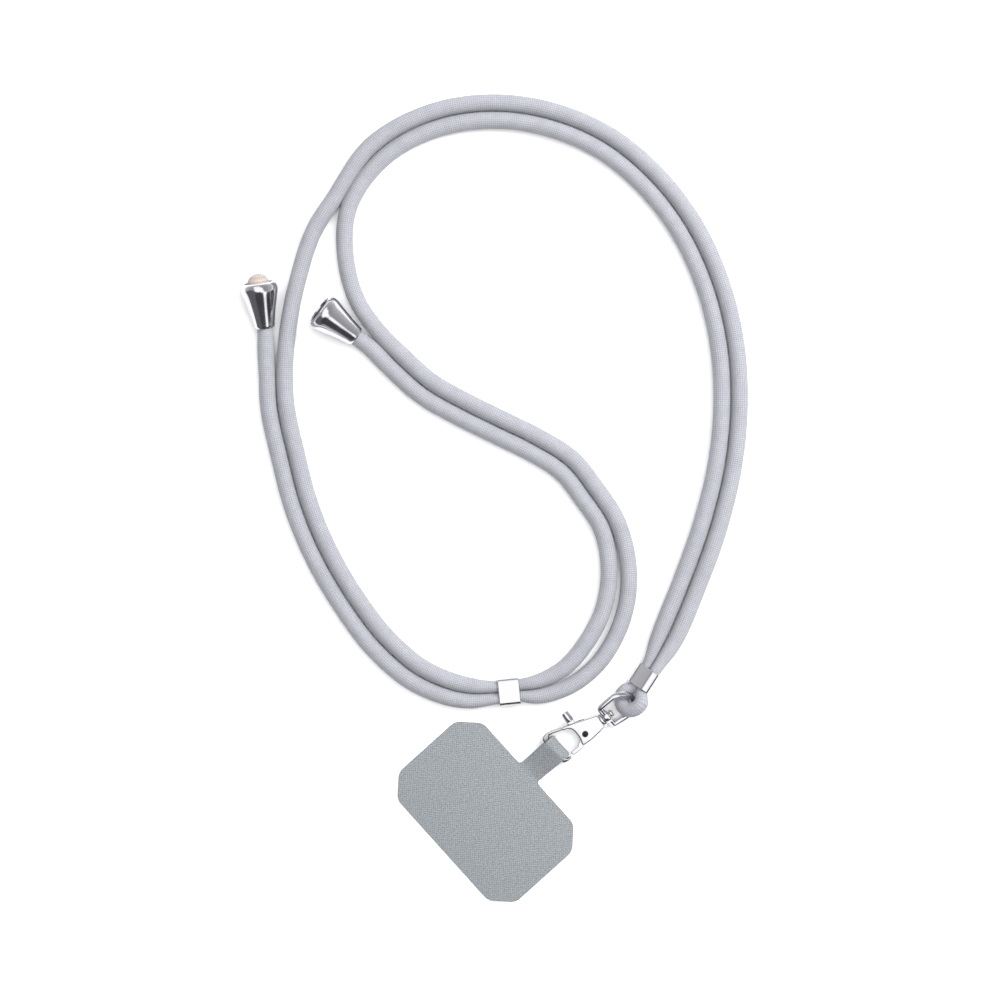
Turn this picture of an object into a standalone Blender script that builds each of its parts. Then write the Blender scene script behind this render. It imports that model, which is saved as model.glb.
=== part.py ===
"""A phone crossbody strap lying flat: one rope in a double loop, two clips, two end bells,
a swivel clasp and the fabric pad that slips into a phone case. Metres, +Z up, resting on Z = 0.
"""
import math

import bmesh
import bpy
from mathutils import Matrix, Vector

MM = 0.001
COLLECTION = "phone_crossbody_strap"

# Frame: moves the whole plan so that its bounding box is centred on the origin.
PLAN_SHIFT = (-0.435, -0.285)

# General clearances and segment counts.
GAP = 0.3
STRAND_GAP = 0.25
FLOOR_GAP = 0.02
LIFT = 0.05
OVERLAP = 0.2
ROUND_STEPS = 24
MERGE = 0.0001

# Rope.
ROPE_DIAMETER = 6.1
ROPE_NECK_DIAMETER = 5.7
ROPE_CLIP_DIAMETER = 4.1
ROPE_FOLD_DIAMETER = 5.3
ROPE_HEIGHT = ROPE_DIAMETER / 2
POINT_STEP = 25.0

# Clips, each a pressed band round two strands.
CLIP_LENGTH = 7.6
CLIP_WALL = 0.45
CLIP_MARGIN = 0.8
CLIP_A_CENTRE = (5.6, -68.6, 2.9)
CLIP_A_BEARING = 5.6
CLIP_A_ROLL = 0.0
CLIP_B_CENTRE = (53.9, -63.9, 4.5)
CLIP_B_BEARING = 237.1
CLIP_B_ROLL = 42.0

# The rope's route, chosen by hand. Shared lines run between two strands that lie side by side.
# Columns: x, y, z, strand diameter, roll in degrees of the pair about its line.
LOWER_LINE = [
    (-77.3, 34.8, ROPE_HEIGHT, ROPE_DIAMETER, 0),
    (-68.4, -3.0, ROPE_HEIGHT, ROPE_DIAMETER, 0),
    (-51.3, -37.0, ROPE_HEIGHT, ROPE_DIAMETER, 0),
    (-25.9, -63.4, ROPE_HEIGHT, ROPE_DIAMETER, 0),
    (-7.7, -69.3, ROPE_HEIGHT, 5.4, 0),
]
MIDDLE_LINE = [
    (41.2, -8.8, ROPE_HEIGHT, ROPE_DIAMETER, 0),
    (26.5, 11.8, ROPE_HEIGHT, ROPE_DIAMETER, 0),
    (1.6, 25.9, ROPE_HEIGHT, ROPE_DIAMETER, 0),
    (-24.0, 39.6, ROPE_HEIGHT, ROPE_DIAMETER, 0),
    (-43.0, 57.4, ROPE_HEIGHT, ROPE_DIAMETER, 0),
]
TOP_LINE = [
    (-54.5, 105.2, ROPE_HEIGHT, ROPE_DIAMETER, 0),
    (-41.6, 124.0, ROPE_HEIGHT, ROPE_DIAMETER, 0),
    (-20.3, 135.6, ROPE_HEIGHT, ROPE_DIAMETER, 0),
    (4.5, 138.4, ROPE_HEIGHT, ROPE_DIAMETER, 0),
    (39.5, 127.5, ROPE_HEIGHT, ROPE_DIAMETER, 0),
    (68.4, 98.0, ROPE_HEIGHT, ROPE_DIAMETER, 0),
    (83.4, 56.0, ROPE_HEIGHT, ROPE_DIAMETER, 0),
    (82.7, 12.3, ROPE_HEIGHT, ROPE_DIAMETER, 0),
    (70.0, -30.2, ROPE_HEIGHT, ROPE_DIAMETER, 0),
    (60.9, -51.6, 3.6, 5.5, 16),
]
# Single strands. Columns: x, y, z, strand diameter.
FROM_BELL_1 = [
    (-81.3, 54.6, 3.2, ROPE_DIAMETER),
    (-80.8, 43.4, ROPE_HEIGHT, ROPE_DIAMETER),
]
OUTER_BEND = [
    (13.6, -70.5, ROPE_HEIGHT, 4.9),
    (25.6, -67.4, ROPE_HEIGHT, 5.9),
    (36.8, -59.2, ROPE_HEIGHT, ROPE_DIAMETER),
    (44.5, -47.0, ROPE_HEIGHT, ROPE_DIAMETER),
    (48.1, -33.5, ROPE_HEIGHT, ROPE_DIAMETER),
    (47.7, -20.0, ROPE_HEIGHT, ROPE_DIAMETER),
]
INNER_BEND = [
    (14.2, -65.3, ROPE_HEIGHT, 4.9),
    (24.6, -60.6, ROPE_HEIGHT, 5.9),
    (33.4, -50.8, ROPE_HEIGHT, ROPE_DIAMETER),
    (39.4, -38.6, ROPE_HEIGHT, ROPE_DIAMETER),
    (41.2, -23.5, ROPE_HEIGHT, ROPE_DIAMETER),
]
PAST_BELL_2 = [
    (-48.6, 70.9, ROPE_HEIGHT, ROPE_DIAMETER),
    (-52.6, 85.0, ROPE_HEIGHT, ROPE_DIAMETER),
]
LEFT_SIDE = [
    (-63.2, 97.7, ROPE_HEIGHT, ROPE_DIAMETER),
    (-69.8, 78.6, ROPE_HEIGHT, ROPE_DIAMETER),
    (-73.4, 60.5, ROPE_HEIGHT, ROPE_DIAMETER),
]

# End bells, from the narrow neck to the wide mouth.
BELL_LENGTH = 16.4
BELL_NECK_RADIUS = 3.65
BELL_MOUTH_RADIUS = 6.7
BELL_SHOULDER = 0.87
BELL_RIM = 1.4
BELL_LIP = 0.7
CHAMBER_GAP = 0.4
ROPE_IN_BELL = 6.3
KNOT_RADIUS = 3.9
KNOT_START = 7.0
KNOT_DOME = 3.2
KNOT_EDGE = 0.8
BELL_1_NECK = (-81.6, 61.3)
BELL_1_BEARING = 97.3
BELL_1_KNOT_END = 19.4
BELL_2_NECK = (-49.1, 58.0)
BELL_2_BEARING = 143.2
BELL_2_KNOT_END = 14.6
# The wall's outside from mouth to neck. Columns: share of the flare, share of the length.
BELL_WALL = [
    (0.75, 0.985), (0.95, 0.955), (1.0, 0.9), (0.95, 0.83), (0.78, 0.7), (0.52, 0.52),
    (0.28, 0.34), (0.1, 0.16), (0.02, 0.03), (-0.04, 0.0),
]

# Swivel ring and the rope's fold round its far bar.
FOLD_REACH = 8.1
FOLD_HEIGHT = 5.7
FOLD_CLEARANCE = 0.8
RING_WIRE = 2.2
RING_LENGTH = 11.4
RING_HALF_WIDTH = 5.8
RING_CORNER = 2.0
RING_ROLL = 40.0
RING_BOSS_RADIUS = 2.3
AXIS_BEARING = 216.3

# Clasp, in its own frame: origin at the ring's base bar, +X along the swivel axis to the hook.
POST_RADIUS = 0.95
POST_HEAD_RADIUS = 1.7
POST_HEAD_LENGTH = 1.2
COLLAR_RADIUS = 2.6
COLLAR_LENGTH = 1.2
NECK_RADIUS = 1.95
NECK_LENGTH = 2.4
CHEEK_THICKNESS = 4.0
HOOK_THICKNESS = 2.3
SLOT_HEIGHT = 2.3
SLOT_X = (7.0, 13.2)
SLOT_Y = (-9.0, 7.0)
PIVOT = (9.7, 0.4)
RIVET_RADIUS = 0.7
RIVET_HEAD_RADIUS = 1.1
RIVET_HEAD_HEIGHT = 0.4
LEVER_THICKNESS = 1.7
THUMB_THICKNESS = 3.2
THUMB_X = (9.9, 12.9)
THUMB_Y = (-10.0, -6.3)
BOW_CENTRE = (21.96, -1.15)

# Pad.
PAD_LENGTH = 62.7
PAD_WIDTH = 41.2
PAD_THICKNESS = 1.0
PAD_CORNER = 7.1
PAD_CORNER_ROUND = 2.0
PAD_BEARING = 42.0
TAB_WIDTH = 9.0
TAB_LENGTH = 15.8
TAB_THICKNESS = 1.0
LOOP_RADIUS = 2.0
TAB_FILLET = 0.8
TAB_ROOT = 2.0
# The folded tab's upper and inner sides between pad and loop. Columns: way out from the pad's
# edge, height above the pad's face.
TAB_TOP = [(4.4, 1.0), (1.5, 0.3), (-TAB_ROOT, -0.05)]
TAB_PINCH = (6.2, 0.35)

BODY_OUTLINE = [
    (2.2, -2.4), (9.4, -4.75), (13.1, -5.8), (15.6, -6.5), (15.6, -5.2), (13.9, -4.7),
    (12.75, -3.9), (12.3, -2.4), (12.2, -0.6), (12.4, 1.3), (12.9, 2.6), (12.6, 3.5),
    (9.1, 3.6), (4.8, 3.0), (2.9, 2.6), (2.2, 2.2),
]
HOOK_OUTLINE = [
    (13.4, -5.9), (15.6, -6.5), (19.0, -7.6), (21.4, -8.0), (23.2, -7.4), (23.8, -5.8),
    (23.2, -1.0), (22.7, 3.3), (22.2, 4.3), (21.2, 4.8), (19.9, 4.85), (18.65, 4.75),
    (18.8, 3.7), (19.9, 3.75), (20.3, 3.6), (20.8, -1.0), (21.25, -5.4), (21.2, -6.2),
    (20.6, -6.65), (19.2, -6.45), (13.9, -4.75), (13.4, -4.5),
]
LEVER_OUTLINE = [
    (17.95, 3.2), (17.6, 4.3), (14.1, 4.2), (12.4, 3.6), (10.6, 2.5), (9.2, 2.6), (7.9, 1.7),
    (7.5, 0.4), (7.9, -0.8), (9.0, -2.6), (10.1, -5.0), (10.1, -6.8), (10.5, -9.2),
    (11.4, -9.6), (12.3, -9.3), (12.8, -6.8), (12.8, -4.4), (11.9, -2.0), (11.9, -0.2),
    (12.9, 1.5), (14.3, 2.0), (14.5, 2.6), (17.8, 2.7),
]


def clear_scene():
    for obj in list(bpy.data.objects):
        bpy.data.objects.remove(obj, do_unlink=True)


def new_collection(name, hidden=False):
    collection = bpy.data.collections.new(name)
    bpy.context.scene.collection.children.link(collection)
    collection.hide_render = hidden
    return collection


def new_material(name, colour, roughness, metallic):
    material = bpy.data.materials.new(name)
    material.use_nodes = True
    shader = material.node_tree.nodes["Principled BSDF"]
    shader.inputs["Base Color"].default_value = (*colour, 1.0)
    shader.inputs["Roughness"].default_value = roughness
    shader.inputs["Metallic"].default_value = metallic
    material.diffuse_color = (*colour, 1.0)
    return material


def add_object(name, data, collection, material=None, parent=None):
    obj = bpy.data.objects.new(name, data)
    collection.objects.link(obj)
    if material:
        data.materials.append(material)
    obj.parent = parent
    return obj


def metres(point):
    return Vector(point) * MM


def plan_direction(bearing):
    angle = math.radians(bearing)
    return Vector((math.cos(angle), math.sin(angle), 0.0))


def frame_matrix(origin, x_axis, z_axis):
    """A placing matrix from an origin in millimetres, an x axis and a rough z axis."""
    x_axis = x_axis.normalized()
    y_axis = z_axis.cross(x_axis).normalized()
    z_axis = x_axis.cross(y_axis)
    matrix = Matrix((x_axis, y_axis, z_axis)).transposed().to_4x4()
    matrix.translation = metres(origin)
    return matrix


# Rope.

def smooth_rows(rows, step):
    """Rows read from a Catmull-Rom curve through the given rows, no further apart than step."""
    rows = [Vector(row) for row in rows]
    found = []
    for i in range(len(rows) - 1):
        before = rows[max(i - 1, 0)]
        start, end = rows[i], rows[i + 1]
        after = rows[min(i + 2, len(rows) - 1)]
        length = (end.xy - start.xy).length
        count = max(1, math.ceil(length / step))
        leave = chord_tangent(before, start, end) * length
        arrive = chord_tangent(start, end, after) * length
        for k in range(count):
            t = k / count
            found.append(
                start * (2 * t**3 - 3 * t**2 + 1) + leave * (t**3 - 2 * t**2 + t)
                + end * (3 * t**2 - 2 * t**3) + arrive * (t**3 - t**2)
            )
    found.append(rows[-1])
    return found


def chord_tangent(before, here, after):
    """Change per millimetre of plan length at the middle row of three."""
    one = (here.xy - before.xy).length
    two = (after.xy - here.xy).length
    if one == 0:
        return (after - here) / two
    if two == 0:
        return (here - before) / one
    return ((here - before) / one * two + (after - here) / two * one) / (one + two)


def strand_beside(line, side):
    """Points and diameters of the strand on one side of a shared line: 1 is left of travel, -1 right."""
    rows = smooth_rows(line, POINT_STEP)
    strand = []
    for i, row in enumerate(rows):
        ahead = rows[min(i + 1, len(rows) - 1)]
        behind = rows[max(i - 1, 0)]
        travel = (ahead.xy - behind.xy).normalized()
        x, y, z, diameter, roll = row
        roll = math.radians(roll)
        across = Vector((-travel.y * math.cos(roll), travel.x * math.cos(roll), math.sin(roll)))
        offset = across * side * (diameter + STRAND_GAP) / 2
        strand.append((*(Vector((x, y, z)) + offset), diameter))
    return strand


def on_floor(row):
    """The row raised, where it has to be, so that its strand lies on the floor and not under it."""
    x, y, z, diameter = row
    return x, y, max(z, diameter / 2 + FLOOR_GAP), diameter


def bell_tilt():
    return math.atan((BELL_MOUTH_RADIUS - BELL_NECK_RADIUS) / (BELL_LENGTH * BELL_SHOULDER))


def bell_axis(bearing):
    """Direction from neck to mouth of a bell that lies on its side."""
    flat = plan_direction(bearing)
    tilt = bell_tilt()
    return Vector((flat.x * math.cos(tilt), flat.y * math.cos(tilt), math.sin(tilt)))


def bell_neck(place):
    return Vector((*place, BELL_NECK_RADIUS / math.cos(bell_tilt()) + LIFT))


def rope_in_bell(place, bearing):
    """The strand's straight stretch through a bell's neck, from inside out."""
    neck = bell_neck(place)
    axis = bell_axis(bearing)
    return [(*(neck + axis * along), ROPE_NECK_DIAMETER) for along in (ROPE_IN_BELL, -1.0)]


def clip_ways(bearing, roll):
    """The strands' direction in a clip and the way from its right strand to its left one."""
    along = plan_direction(bearing)
    roll = math.radians(roll)
    left = Vector((-along.y, along.x, 0.0))
    return along, left * math.cos(roll) + Vector((0, 0, math.sin(roll)))


def strand_in_clip(centre, bearing, roll, side):
    along, across = clip_ways(bearing, roll)
    middle = Vector(centre) + across * side * (ROPE_CLIP_DIAMETER + STRAND_GAP) / 2
    reach = CLIP_LENGTH / 2 + CLIP_MARGIN
    return [(*(middle + along * way * reach), ROPE_CLIP_DIAMETER) for way in (-1, 1)]


def strand_in_clip_a(side):
    return strand_in_clip(CLIP_A_CENTRE, CLIP_A_BEARING, CLIP_A_ROLL, side)


def strand_in_clip_b(side):
    return strand_in_clip(CLIP_B_CENTRE, CLIP_B_BEARING, CLIP_B_ROLL, side)


def fold_centre():
    plan = Vector((CLIP_B_CENTRE[0], CLIP_B_CENTRE[1], FOLD_HEIGHT))
    return plan + plan_direction(CLIP_B_BEARING) * FOLD_REACH


def fold_radius():
    return ROPE_FOLD_DIAMETER / 2 + FOLD_CLEARANCE + RING_WIRE / 2


def rope_fold():
    centre = fold_centre()
    along, across = clip_ways(CLIP_B_BEARING, CLIP_B_ROLL)
    points = []
    for degrees in range(0, 181, 30):
        angle = math.radians(degrees)
        way = across * -math.cos(angle) + along * math.sin(angle)
        points.append((*(centre + way * fold_radius()), ROPE_FOLD_DIAMETER))
    return points


def rope_points():
    """Every point of the rope as (x, y, z, diameter), from bell 1 to bell 2."""
    runs = [
        rope_in_bell(BELL_1_NECK, BELL_1_BEARING),
        FROM_BELL_1,
        strand_beside(LOWER_LINE, -1),
        strand_in_clip_a(-1),
        OUTER_BEND,
        strand_beside(MIDDLE_LINE, -1),
        PAST_BELL_2,
        strand_beside(TOP_LINE, -1),
        strand_in_clip_b(-1),
        rope_fold(),
        reversed(strand_in_clip_b(1)),
        reversed(strand_beside(TOP_LINE, 1)),
        LEFT_SIDE,
        strand_beside(LOWER_LINE, 1),
        strand_in_clip_a(1),
        INNER_BEND,
        strand_beside(MIDDLE_LINE, 1),
        reversed(rope_in_bell(BELL_2_NECK, BELL_2_BEARING)),
    ]
    return [row for run in runs for row in run]


def make_rope(collection, material, frame):
    rows = [on_floor(row) for row in smooth_rows(rope_points(), POINT_STEP)]
    curve = bpy.data.curves.new("rope", "CURVE")
    curve.dimensions = "3D"
    curve.bevel_depth = ROPE_DIAMETER / 2 * MM
    curve.bevel_resolution = 4
    curve.use_fill_caps = True
    spline = curve.splines.new("POLY")
    spline.points.add(len(rows) - 1)
    for point, row in zip(spline.points, rows):
        point.co = (*metres(row[:3]), 1.0)
        point.radius = row[3] / ROPE_DIAMETER
    return add_object("rope", curve, collection, material, frame)


# Shared shapes.

def turned(name, profile, collection, material, frame, closed):
    """A turned piece from (radius, height) pairs that run from top to bottom on the outside."""
    mesh = bpy.data.meshes.new(name)
    edges = [(i, i + 1) for i in range(len(profile) - 1)]
    if closed:
        edges.append((len(profile) - 1, 0))
    mesh.from_pydata([(r * MM, 0.0, z * MM) for r, z in profile], edges, [])
    obj = add_object(name, mesh, collection, material, frame)
    screw = obj.modifiers.new("Screw", "SCREW")
    screw.steps = screw.render_steps = ROUND_STEPS
    screw.use_merge_vertices = True
    screw.merge_threshold = MERGE * MM
    screw.use_smooth_shade = False
    return obj


def flat_outline(name, outlines, thickness, collection, material=None, parent=None):
    """A plate from closed outlines in millimetres; an outline inside another is a hole."""
    curve = bpy.data.curves.new(name, "CURVE")
    curve.dimensions = "2D"
    curve.fill_mode = "BOTH"
    curve.extrude = thickness / 2 * MM
    for outline in outlines:
        spline = curve.splines.new("POLY")
        spline.points.add(len(outline) - 1)
        spline.use_cyclic_u = True
        for point, (x, y) in zip(spline.points, outline):
            point.co = (x * MM, y * MM, 0.0, 1.0)
    return add_object(name, curve, collection, material, parent)


def rounded(outline, cut):
    """The outline with each corner replaced by two points, cut short of it."""
    points = [Vector(point) for point in outline]
    found = []
    for i, here in enumerate(points):
        before, after = points[i - 1], points[(i + 1) % len(points)]
        for other in (before, after):
            way = other - here
            found.append(tuple(here + way.normalized() * min(cut, way.length * 0.3)))
    return found


def as_mesh(obj, collection):
    """The same object as a mesh, its curve removed and its doubled points merged."""
    bpy.context.view_layer.update()
    graph = bpy.context.evaluated_depsgraph_get()
    mesh = bpy.data.meshes.new_from_object(obj.evaluated_get(graph))
    name, parent, matrix = obj.name, obj.parent, obj.matrix_world.copy()
    bpy.data.objects.remove(obj, do_unlink=True)
    made = bpy.data.objects.new(name, mesh)
    collection.objects.link(made)
    made.parent = parent
    made.matrix_world = matrix
    merge_doubles(mesh)
    return made


def merge_doubles(mesh):
    work = bmesh.new()
    work.from_mesh(mesh)
    bmesh.ops.remove_doubles(work, verts=work.verts, dist=1e-6)
    bmesh.ops.recalc_face_normals(work, faces=work.faces)
    work.to_mesh(mesh)
    work.free()


def boolean(obj, other, operation):
    """Joins or cuts a piece with a helper that stays in the hidden collection."""
    modifier = obj.modifiers.new(f"{operation.title()} {other.name}", "BOOLEAN")
    modifier.operation = operation
    modifier.solver = "EXACT"
    modifier.object = other
    other.hide_render = True
    other.display_type = "WIRE"


def helper_cylinder(name, radius, length, centre, direction, collection, parent):
    """A cylinder along x, y or z of its parent's frame, for joining or cutting."""
    bpy.ops.mesh.primitive_cylinder_add(
        vertices=ROUND_STEPS, radius=radius * MM, depth=length * MM, location=(0, 0, 0)
    )
    obj = bpy.context.object
    obj.name = name
    for other in list(obj.users_collection):
        other.objects.unlink(obj)
    collection.objects.link(obj)
    turns = {"x": (0, math.pi / 2, 0), "y": (math.pi / 2, 0, 0), "z": (0, 0, 0)}
    obj.rotation_euler = turns[direction]
    obj.location = metres(centre)
    obj.parent = parent
    return obj


def helper_box(name, x_span, y_span, z_span, collection, parent):
    bpy.ops.mesh.primitive_cube_add(size=1.0, location=(0, 0, 0))
    obj = bpy.context.object
    obj.name = name
    for other in list(obj.users_collection):
        other.objects.unlink(obj)
    collection.objects.link(obj)
    obj.scale = metres([high - low for low, high in (x_span, y_span, z_span)])
    obj.location = metres([(low + high) / 2 for low, high in (x_span, y_span, z_span)])
    obj.parent = parent
    return obj


# Clips.

def stadium(half_length, radius, steps=8):
    points = []
    for side, start in ((1, -90), (-1, 90)):
        for k in range(steps + 1):
            angle = math.radians(start + 180 * k / steps)
            points.append((side * half_length + radius * math.cos(angle), radius * math.sin(angle)))
    return points


def make_clip(name, centre, bearing, roll, collection, material, frame):
    along, across = clip_ways(bearing, roll)
    pitch = (ROPE_CLIP_DIAMETER + STRAND_GAP) / 2
    inner = ROPE_CLIP_DIAMETER / 2 + GAP
    outlines = [stadium(pitch, inner + CLIP_WALL), stadium(pitch, inner)]
    clip = flat_outline(name, outlines, CLIP_LENGTH, collection, material, frame)
    clip.matrix_local = frame_matrix(centre, across, along)
    return clip


# End bells.

def bell_profile():
    """The bell's wall: outside from mouth to neck, then the bore, the knot's chamber and the mouth."""
    bore = ROPE_NECK_DIAMETER / 2 + GAP
    chamber = KNOT_RADIUS + CHAMBER_GAP
    mouth = BELL_MOUTH_RADIUS - BELL_RIM
    flare = BELL_MOUTH_RADIUS - BELL_NECK_RADIUS
    outside = [(BELL_NECK_RADIUS + flare * r, BELL_LENGTH * z) for r, z in BELL_WALL]
    inside = [
        (bore, 0.0), (bore, KNOT_START - 2 * KNOT_EDGE), (chamber, KNOT_START - KNOT_EDGE / 2),
        (chamber, KNOT_START + 2 * KNOT_EDGE), (mouth - KNOT_EDGE, BELL_LENGTH * 0.67),
        (mouth, BELL_LENGTH * 0.82), (mouth - BELL_LIP, BELL_LENGTH - LIFT), (mouth, BELL_LENGTH),
    ]
    return outside + inside


def knot_profile(end):
    """The rope's knotted end: a dome that faces the bell's mouth on a short round body."""
    base = end - KNOT_DOME
    dome = [(KNOT_RADIUS * math.sin(a), base + KNOT_DOME * math.cos(a)) for a in (0.0, 0.4, 0.8, 1.2)]
    side = [(KNOT_RADIUS, base), (KNOT_RADIUS, KNOT_START + KNOT_EDGE)]
    return dome + side + [(KNOT_RADIUS - KNOT_EDGE, KNOT_START), (0.0, KNOT_START)]


def make_bell(number, place, bearing, knot_end, collection, metal, cloth, frame):
    axis = bell_axis(bearing)
    matrix = frame_matrix(bell_neck(place), plan_direction(bearing - 90), axis)
    bell = turned(f"bell_{number}", bell_profile(), collection, metal, frame, closed=True)
    bell.matrix_local = matrix
    knot = turned(f"rope_end_{number}", knot_profile(knot_end), collection, cloth, frame, closed=False)
    knot.matrix_local = matrix


# Clasp.

def clasp_frame(frame, collection):
    """An empty at the ring's base bar with +X along the swivel axis towards the hook."""
    flat = plan_direction(AXIS_BEARING)
    drop = FOLD_HEIGHT - loop_centre()[1]
    pitch = math.asin(drop / (RING_LENGTH + BOW_CENTRE[0]))
    axis = Vector((flat.x * math.cos(pitch), flat.y * math.cos(pitch), -math.sin(pitch)))
    base = fold_centre() + axis * RING_LENGTH
    empty = add_object("clasp_frame", None, collection, None, frame)
    empty.matrix_local = frame_matrix(base, axis, Vector((0, 0, 1)))
    return empty


def ring_path():
    """Centre line of the D: base bar at x = 0, round far end at x = -RING_LENGTH."""
    radius = RING_HALF_WIDTH
    eased = RING_CORNER * 0.3
    points = [(0.0, radius - RING_CORNER), (-eased, radius - eased)]
    bend = RING_LENGTH - radius
    for k in range(11):
        angle = math.radians(90 + 18 * k)
        points.append((-bend + radius * math.cos(angle), radius * math.sin(angle)))
    points += [(x, -y) for x, y in reversed(points[:2])]
    return points


def make_ring(collection, helpers, material, clasp):
    curve = bpy.data.curves.new("swivel_ring", "CURVE")
    curve.dimensions = "3D"
    curve.bevel_depth = RING_WIRE / 2 * MM
    curve.bevel_resolution = 2
    spline = curve.splines.new("POLY")
    path = ring_path()
    spline.points.add(len(path) - 1)
    spline.use_cyclic_u = True
    for point, (x, y) in zip(spline.points, path):
        point.co = (x * MM, y * MM, 0.0, 1.0)
    ring = add_object("swivel_ring", curve, collection, material, clasp)
    ring = as_mesh(ring, collection)
    ring.rotation_euler = (math.radians(-RING_ROLL), 0.0, 0.0)
    boss = helper_cylinder("ring_boss", RING_BOSS_RADIUS, RING_WIRE, (0, 0, 0), "x", helpers, clasp)
    hole = helper_cylinder("ring_hole", POST_RADIUS + GAP, RING_WIRE * 3, (0, 0, 0), "x", helpers, clasp)
    boolean(ring, boss, "UNION")
    boolean(ring, hole, "DIFFERENCE")
    return ring


def make_hook(collection, helpers, material, clasp):
    body = flat_outline("hook_body", [BODY_OUTLINE], CHEEK_THICKNESS, collection, material, clasp)
    body = as_mesh(body, collection)
    hook = flat_outline("hook_plate", [HOOK_OUTLINE], HOOK_THICKNESS, helpers, material, clasp)
    hook = as_mesh(hook, helpers)
    post_start = RING_WIRE / 2 + GAP
    post_end = -RING_WIRE / 2 - GAP
    collar_end = post_start + COLLAR_LENGTH
    pieces = [
        (COLLAR_RADIUS, post_start, collar_end, "collar"),
        (NECK_RADIUS, collar_end - OVERLAP, collar_end + NECK_LENGTH, "neck"),
        (POST_RADIUS, post_end - OVERLAP, post_start + OVERLAP, "post"),
        (POST_HEAD_RADIUS, post_end - POST_HEAD_LENGTH, post_end, "post_head"),
    ]
    boolean(body, hook, "UNION")
    for radius, start, end, name in pieces:
        middle = ((start + end) / 2, 0, 0)
        piece = helper_cylinder(name, radius, end - start, middle, "x", helpers, clasp)
        boolean(body, piece, "UNION")
    half = SLOT_HEIGHT / 2
    slot = helper_box("slot", SLOT_X, SLOT_Y, (-half, half), helpers, clasp)
    boolean(body, slot, "DIFFERENCE")
    length = CHEEK_THICKNESS * 2
    hole = helper_cylinder("pivot_hole", RIVET_RADIUS + GAP, length, (*PIVOT, 0), "z", helpers, clasp)
    boolean(body, hole, "DIFFERENCE")
    return body


def make_rivet(collection, material, clasp):
    top = CHEEK_THICKNESS / 2 + GAP
    head = top + RIVET_HEAD_HEIGHT
    edge = top + RIVET_HEAD_HEIGHT * 0.25
    upper = [
        (0.0, head), (RIVET_HEAD_RADIUS * 0.6, head), (RIVET_HEAD_RADIUS, edge),
        (RIVET_HEAD_RADIUS, top), (RIVET_RADIUS, top),
    ]
    profile = upper + [(radius, -height) for radius, height in reversed(upper)]
    rivet = turned("pivot_rivet", profile, collection, material, clasp, closed=False)
    rivet.location = metres((*PIVOT, 0.0))
    return rivet


def make_lever(collection, helpers, material, clasp):
    """The gate with its thumb nub; its origin is on the rivet's axis."""
    outline = [(x - PIVOT[0], y - PIVOT[1]) for x, y in LEVER_OUTLINE]
    lever = flat_outline("lever", [outline], LEVER_THICKNESS, collection, material, clasp)
    lever.location = metres((*PIVOT, 0.0))
    lever = as_mesh(lever, collection)
    half = THUMB_THICKNESS / 2
    thumb = helper_box("thumb", THUMB_X, THUMB_Y, (-half, half), helpers, clasp)
    boolean(lever, thumb, "UNION")
    length = LEVER_THICKNESS * 3
    hole = helper_cylinder("lever_hole", RIVET_RADIUS + GAP, length, (*PIVOT, 0), "z", helpers, clasp)
    boolean(lever, hole, "DIFFERENCE")
    return lever


# Pad.

def loop_centre():
    """Distance from the pad's centre to the middle of the tab's loop, and its height."""
    reach = PAD_WIDTH / 2 + TAB_LENGTH - TAB_THICKNESS - LOOP_RADIUS
    return reach, TAB_THICKNESS + LOOP_RADIUS + LIFT


def pad_outline():
    half_length, half_width, cut = PAD_LENGTH / 2, PAD_WIDTH / 2, PAD_CORNER
    tab, fillet = TAB_WIDTH / 2, TAB_FILLET
    corners = [
        (half_width, -half_length + cut), (half_width, -tab - fillet), (half_width + fillet, -tab),
        (half_width + fillet * 2, -tab), (half_width + fillet * 2, tab),
        (half_width + fillet, tab), (half_width, tab + fillet), (half_width, half_length - cut),
        (half_width - cut, half_length), (-half_width + cut, half_length),
        (-half_width, half_length - cut), (-half_width, -half_length + cut),
        (-half_width + cut, -half_length), (half_width - cut, -half_length),
    ]
    return rounded(corners, PAD_CORNER_ROUND)


def tab_outlines():
    """Side view of the folded tab: distance from the pad's centre and height."""
    reach, height = loop_centre()
    root = PAD_WIDTH / 2

    def arc(radius):
        angles = [math.radians(-80 + 185 * k / 10) for k in range(11)]
        return [(reach + radius * math.cos(a), height + radius * math.sin(a)) for a in angles]

    outer = [(root - TAB_ROOT, LIFT), (reach - LOOP_RADIUS / 2, LIFT)]
    outer += arc(LOOP_RADIUS + TAB_THICKNESS)
    outer += [(root + out, PAD_THICKNESS + rise) for out, rise in TAB_TOP]
    inner = [(root + TAB_PINCH[0], PAD_THICKNESS + TAB_PINCH[1])]
    inner += [(reach - LOOP_RADIUS / 2, TAB_THICKNESS + LIFT)] + arc(LOOP_RADIUS)
    return [outer, inner]


def make_pad(collection, helpers, material, frame, clasp):
    bpy.context.view_layer.update()
    bow = clasp.matrix_local @ metres((*BOW_CENTRE, 0.0))
    reach, height = loop_centre()
    way = plan_direction(PAD_BEARING)
    centre = Vector((bow.x, bow.y, 0.0)) - way * reach * MM
    pad = flat_outline("patch", [pad_outline()], PAD_THICKNESS, collection, material, frame)
    placing = Matrix.Rotation(math.radians(PAD_BEARING), 4, "Z")
    placing.translation = centre + Vector((0, 0, PAD_THICKNESS / 2 * MM))
    pad.matrix_local = placing
    pad = as_mesh(pad, collection)
    tab = flat_outline("tab", tab_outlines(), TAB_WIDTH, helpers, material, frame)
    sideways = Vector((way.y, -way.x, 0.0))
    tab.matrix_local = frame_matrix(centre / MM, way, sideways)
    tab = as_mesh(tab, helpers)
    boolean(pad, tab, "UNION")
    return pad


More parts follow.
